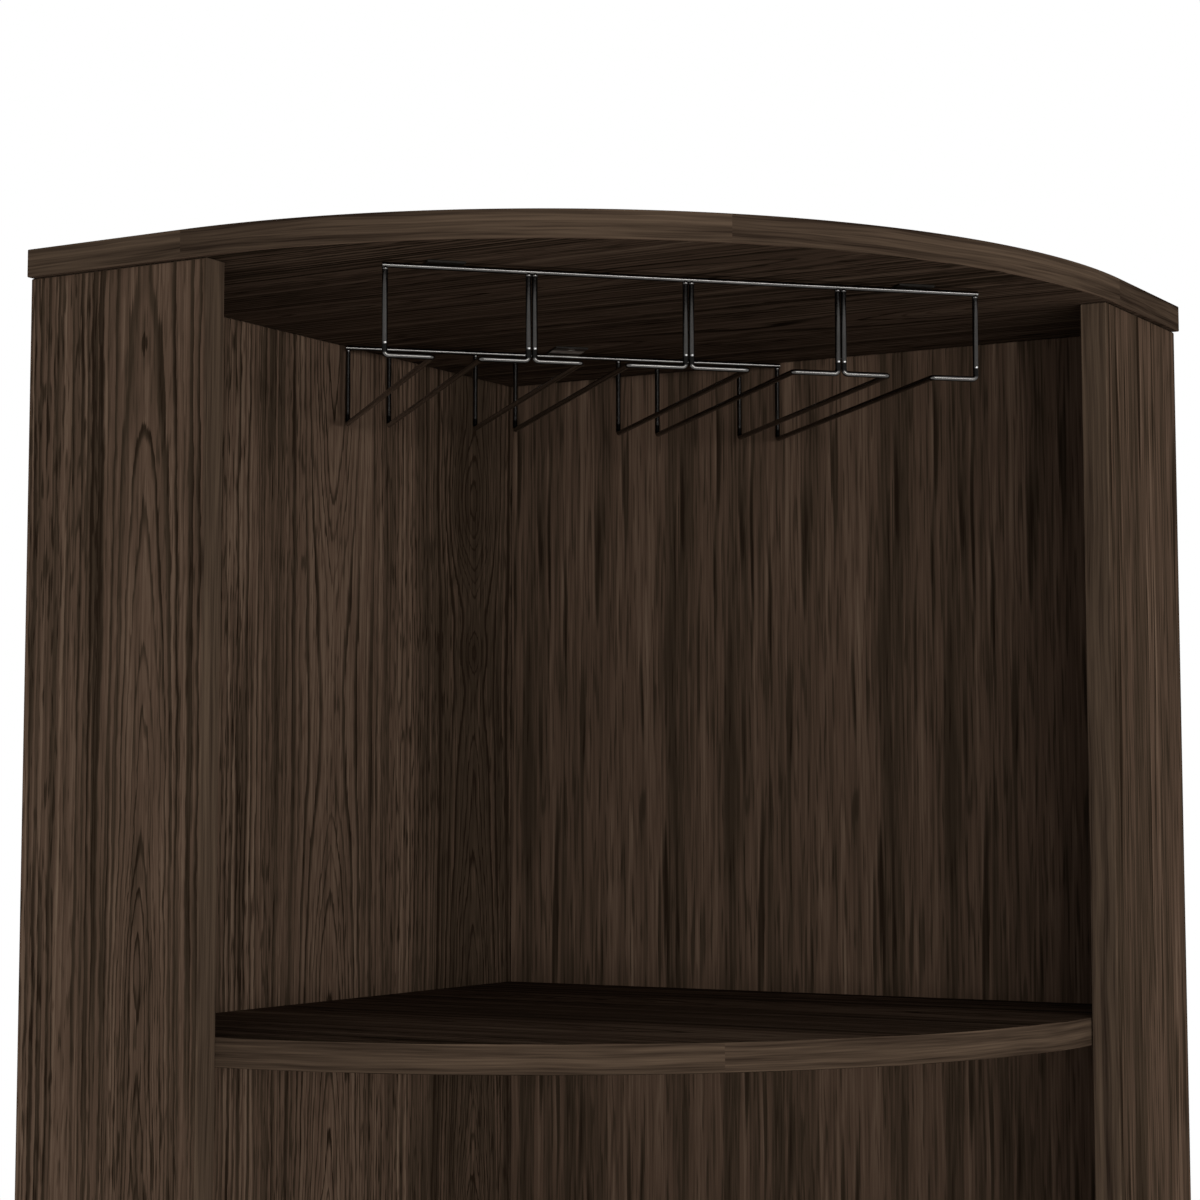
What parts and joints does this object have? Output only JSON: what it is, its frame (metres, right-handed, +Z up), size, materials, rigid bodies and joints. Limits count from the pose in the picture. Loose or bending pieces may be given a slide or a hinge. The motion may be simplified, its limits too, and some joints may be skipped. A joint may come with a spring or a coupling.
{
  "type": "bar cabinet",
  "caption": "Tall dark walnut corner bar cabinet: quarter-round shelves between short side panels, wire rack for stemmed glasses, open bay, bottle rack and a cupboard with hinged doors.",
  "frame": {"origin": "on the floor, in the middle of the footprint's box", "axes": "+Z up, -Y towards the front, +Y towards the back corner, X along the front"},
  "size_m": [0.6638, 0.5118, 1.8],
  "materials": {
    "walnut": "dark walnut laminate, satin",
    "dark_metal": "dark plated wire, semi-gloss",
    "steel": "zinc-plated",
    "plastic": "moulded, matt"
  },
  "bodies": {
    "case": {"top_panel": "walnut", "left_side_panel": "walnut", "right_side_panel": "walnut", "left_back_panel": "walnut", "right_back_panel": "walnut", "upper_shelf": "walnut", "counter_deck": "walnut", "cupboard_deck": "walnut", "bottom_panel": "walnut", "bottle_shelf": "walnut", "bottle_divider_left": "walnut", "bottle_divider_centre": "walnut", "bottle_divider_right": "walnut", "cupboard_shelf": "walnut", "plinth_board": "walnut", "glass_wire_1": "dark_metal", "glass_wire_2": "dark_metal", "glass_wire_3": "dark_metal", "glass_wire_4": "dark_metal", "glass_wire_5": "dark_metal", "glass_wire_6": "dark_metal", "glass_wire_7": "dark_metal", "glass_wire_8": "dark_metal", "rack_front_rail": "dark_metal", "rack_rear_rail": "dark_metal", "rack_tab_rear": "dark_metal", "rack_tab_front_left": "dark_metal", "rack_tab_front_right": "dark_metal", "glide_1": "plastic", "glide_2": "plastic", "glide_3": "plastic", "glide_4": "plastic", "glide_5": "plastic", "shelf_pin_1": "steel", "shelf_pin_2": "steel", "shelf_pin_3": "steel", "shelf_pin_4": "steel", "left_catch": "plastic", "left_lower_hinge_frame_leaf": "steel", "left_lower_hinge_pin": "steel", "left_upper_hinge_frame_leaf": "steel", "left_upper_hinge_pin": "steel", "right_catch": "plastic", "right_lower_hinge_frame_leaf": "steel", "right_lower_hinge_pin": "steel", "right_upper_hinge_frame_leaf": "steel", "right_upper_hinge_pin": "steel"},
    "left_door": {"left_door": "walnut", "left_handle": "dark_metal", "left_strike": "steel", "left_lower_hinge_door_leaf": "steel", "left_upper_hinge_door_leaf": "steel"},
    "right_door": {"right_door": "walnut", "right_handle": "dark_metal", "right_strike": "steel", "right_lower_hinge_door_leaf": "steel", "right_upper_hinge_door_leaf": "steel"}
  },
  "joints": [
    {"name": "left_door_swing", "type": "hinge", "parent": "case", "child": "left_door", "pos_m": [-0.23575, -0.14905, 0.3886], "axis": [0, 0, -1], "range_deg": [0, 110]},
    {"name": "right_door_swing", "type": "hinge", "parent": "case", "child": "right_door", "pos_m": [0.23575, -0.14905, 0.3886], "axis": [0, 0, 1], "range_deg": [0, 110]}
  ]
}
